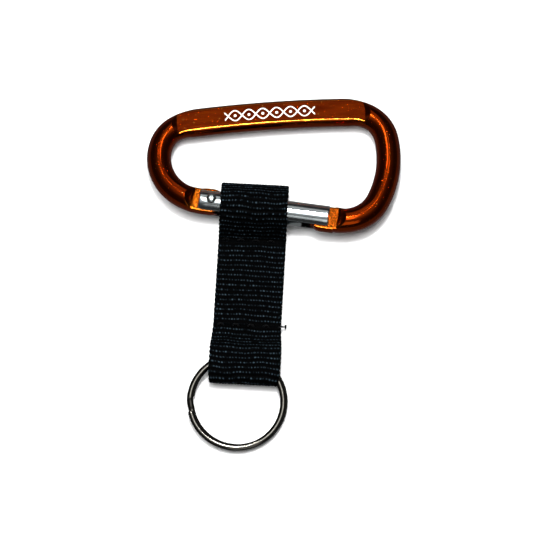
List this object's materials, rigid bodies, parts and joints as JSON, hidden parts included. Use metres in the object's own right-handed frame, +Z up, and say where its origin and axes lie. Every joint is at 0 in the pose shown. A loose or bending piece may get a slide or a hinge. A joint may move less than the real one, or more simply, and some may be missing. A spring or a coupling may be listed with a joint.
{
  "type": "carabiner keyring",
  "caption": "Sprung-gate aluminium carabiner with a doubled webbing strap sewn round its gate and a split key ring in the strap's lower loop.",
  "frame": {"origin": "on the table, under the middle of the whole keyring's box", "axes": "+Z up from the table it lies on, +Y from the split ring towards the carabiner's spine, +X from the gate's hinge towards its nose"},
  "size_m": [0.0728, 0.105, 0.0102],
  "materials": {
    "anodised_frame": "glossy orange-brown anodising over drawn and pressed rod",
    "bare_aluminium": "satin, with fine turning marks and scratches",
    "spring_steel": "drawn wire",
    "webbing": "ribbed black nylon weave",
    "thread": "twisted black polyester",
    "ring_nickel": "dark nickel plate on flattened spring wire"
  },
  "bodies": {
    "frame": {"carabiner_frame": "anodised_frame"},
    "gate": {"gate": "bare_aluminium", "hinge_rivet": "bare_aluminium", "gate_spring": "spring_steel"},
    "plunger": {"gate_plunger": "spring_steel"},
    "gate_loop": {"webbing_gate_loop": "webbing", "upper_stitching": "thread"},
    "strap_middle": {"webbing_middle": "webbing"},
    "ring_loop": {"webbing_ring_loop": "webbing", "lower_stitching": "thread"},
    "ring": {"split_ring": "ring_nickel"}
  },
  "joints": [
    {"name": "gate_hinge", "type": "hinge", "parent": "frame", "child": "gate", "pos_m": [-0.01786, 0.02016, 0.00498], "axis": [0, 0.0558, 0.9984], "range_deg": [0, 25], "stiffness_Nm_per_rad": 0.15, "springref_deg": -22.92},
    {"name": "plunger_slide", "type": "slide", "parent": "gate", "child": "plunger", "axis": [0.9901, -0.14, 0.0078], "range_m": [0, 0.00075], "deforming": ["gate_spring"]},
    {"name": "strap_swing", "type": "hinge", "parent": "gate", "child": "gate_loop", "pos_m": [-0.00586, 0.01847, 0.00507], "axis": [-0.9901, 0.14, -0.0078], "range_deg": [-100, 100]},
    {"name": "upper_flex", "type": "hinge", "parent": "gate_loop", "child": "strap_middle", "pos_m": [-0.00631, 0.00776, 0.00111], "axis": [-0.9984, 0.0558, 0], "range_deg": [-60, 60]},
    {"name": "lower_flex", "type": "hinge", "parent": "strap_middle", "child": "ring_loop", "pos_m": [-0.00751, -0.01381, 0.00111], "axis": [-0.9984, 0.0558, 0], "range_deg": [-60, 60]},
    {"name": "ring_spin", "type": "hinge", "parent": "ring_loop", "child": "ring", "pos_m": [-0.01036, -0.03834, 0.00216], "axis": [0, -0.0698, 0.9976], "continuous": true}
  ],
  "couplings": [
    {"joint": "plunger_slide", "follows": "gate_hinge", "m_per_rad": 0.0017}
  ]
}
